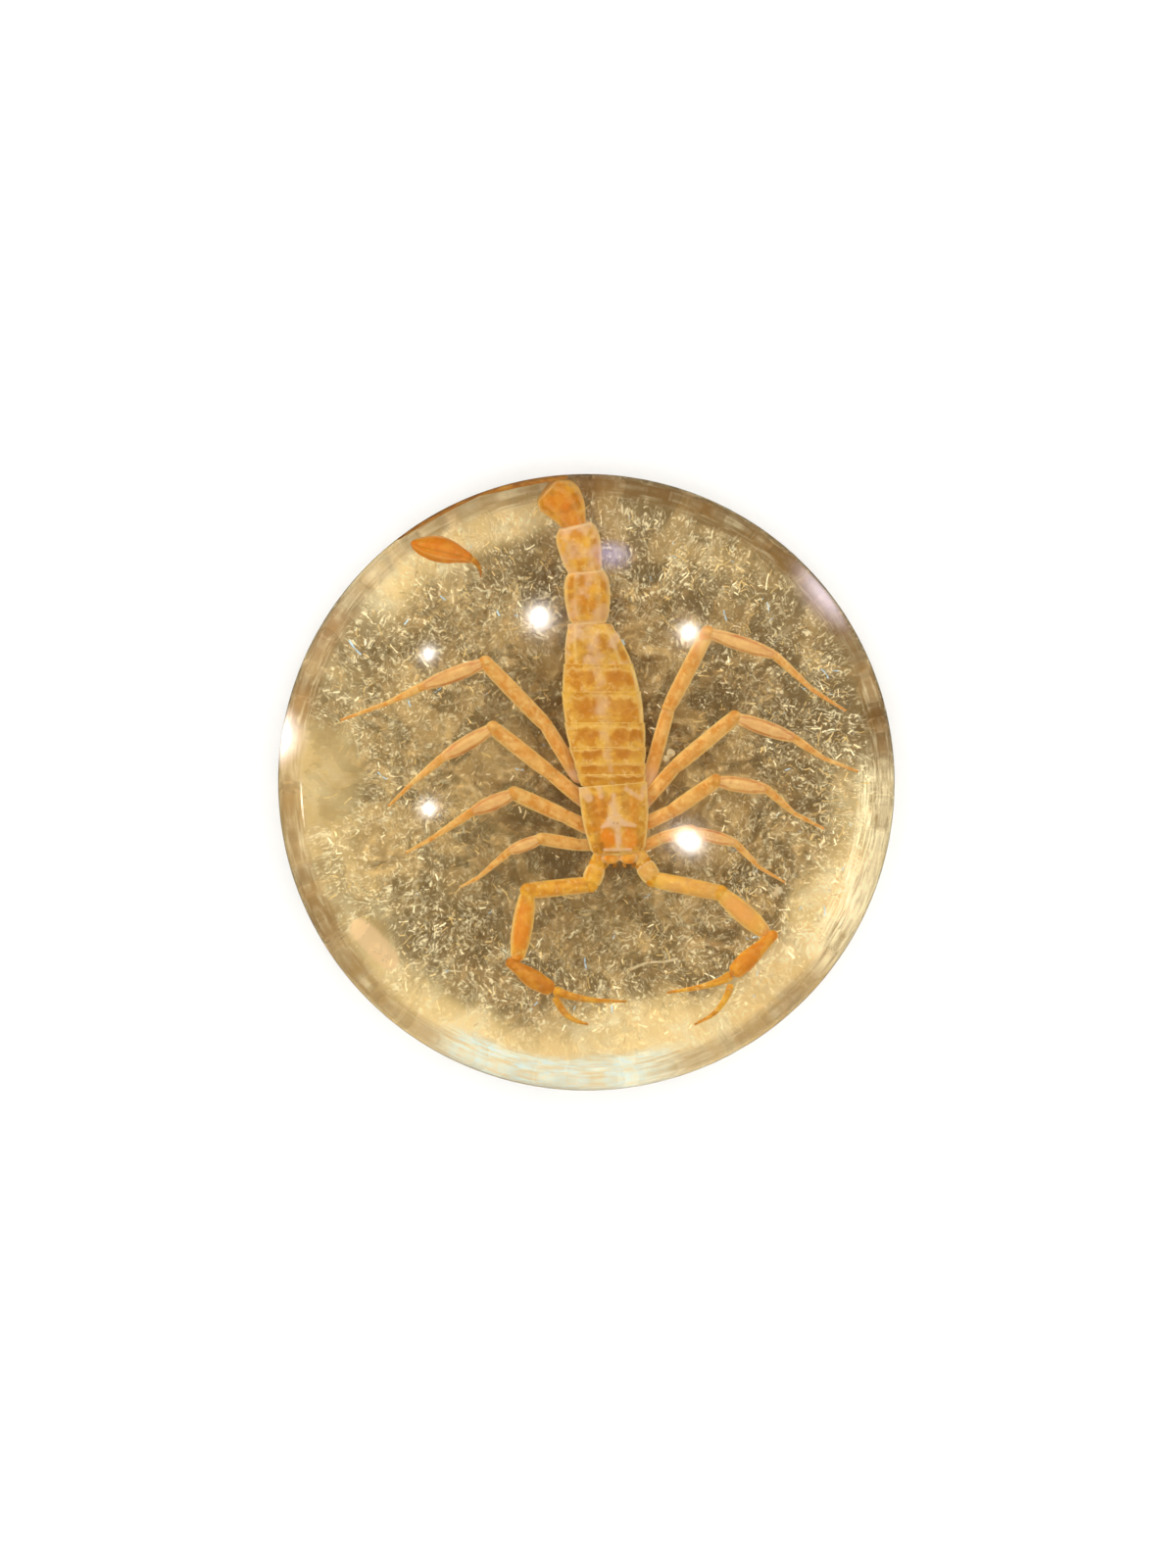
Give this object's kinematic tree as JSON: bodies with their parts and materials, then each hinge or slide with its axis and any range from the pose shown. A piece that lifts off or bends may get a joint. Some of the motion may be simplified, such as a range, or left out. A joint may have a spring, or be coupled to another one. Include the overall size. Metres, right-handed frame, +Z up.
{
  "type": "scorpion in a domed resin puck",
  "caption": "Golden scorpion cast in a clear domed round resin puck on a crinkled gold backing; rests flat as a paperweight or display piece.",
  "frame": {"origin": "centre of the round underside, on the surface that the puck rests on", "axes": "+Z up through the top of the dome; +Y from the middle towards the scorpion's tail; +X to the right as seen from above with the tail away"},
  "size_m": [0.06, 0.06, 0.024],
  "materials": {
    "clear_resin": "polished clear cast resin, faintly warm",
    "gold_backing": "crinkled metallised film with pale gold glints",
    "amber_shell": "satin amber chitin",
    "orange_shell": "satin orange chitin",
    "leg_shell": "satin yellow-orange chitin"
  },
  "bodies": {
    "root": {"resin_top": "clear_resin", "resin_base": "clear_resin", "gold_backing": "gold_backing", "carapace": "amber_shell", "abdomen": "amber_shell", "jaw_left": "amber_shell", "jaw_right": "amber_shell", "tail_segment_1": "orange_shell", "tail_segment_2": "orange_shell", "tail_segment_3": "orange_shell", "tail_segment_4": "orange_shell", "tail_segment_5": "orange_shell", "stinger": "orange_shell", "claw_arm_left": "orange_shell", "claw_arm_right": "orange_shell", "claw_left": "orange_shell", "claw_right": "orange_shell", "claw_finger_left": "orange_shell", "claw_finger_right": "orange_shell", "leg_left_1": "leg_shell", "leg_left_2": "leg_shell", "leg_left_3": "leg_shell", "leg_left_4": "leg_shell", "leg_right_1": "leg_shell", "leg_right_2": "leg_shell", "leg_right_3": "leg_shell", "leg_right_4": "leg_shell"}
  },
  "joints": []
}
